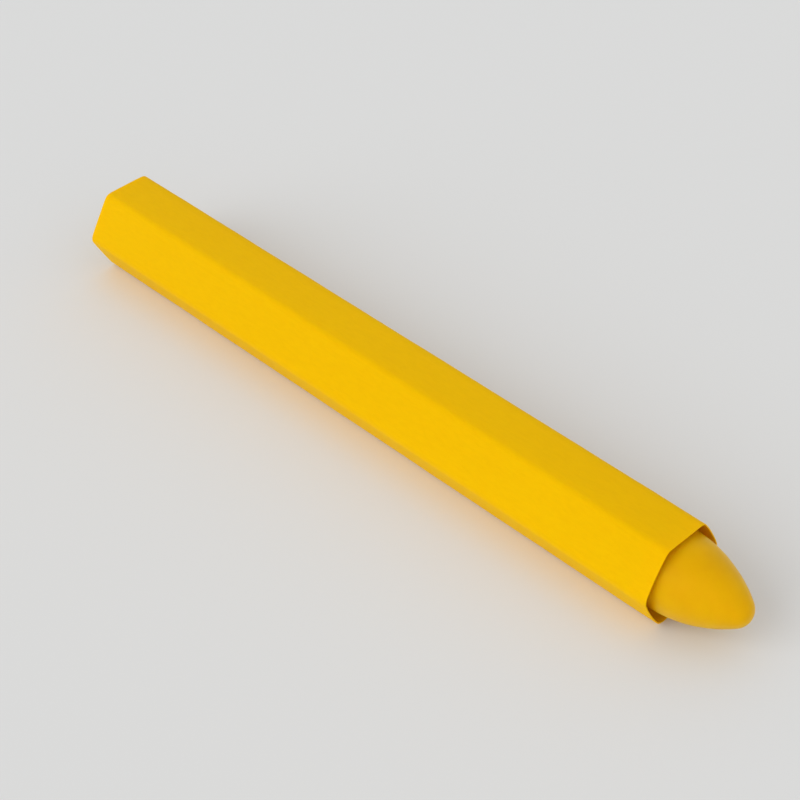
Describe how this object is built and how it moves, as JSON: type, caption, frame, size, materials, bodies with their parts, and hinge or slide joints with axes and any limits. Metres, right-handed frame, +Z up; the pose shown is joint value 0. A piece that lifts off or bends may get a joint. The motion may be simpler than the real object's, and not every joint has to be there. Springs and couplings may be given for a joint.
{
  "type": "tire marking crayon",
  "caption": "Hexagonal wax marking crayon with a blunt round nose, wrapped in a plain yellow paper sleeve with a glued lap, lying on one flat.",
  "frame": {"origin": "bottom centre of the crayon's box, on the sleeve flat that it lies on", "axes": "+X along the crayon towards the nose, +Z up from the flat that it lies on, +Y to the side that holds the glued lap"},
  "size_m": [0.11, 0.0136, 0.0121],
  "materials": {
    "wax": "satin, slightly waxy and translucent",
    "sleeve_paper": "matte uncoated paper"
  },
  "bodies": {
    "root": {"wax_stick": "wax", "paper_sleeve": "sleeve_paper"}
  },
  "joints": []
}
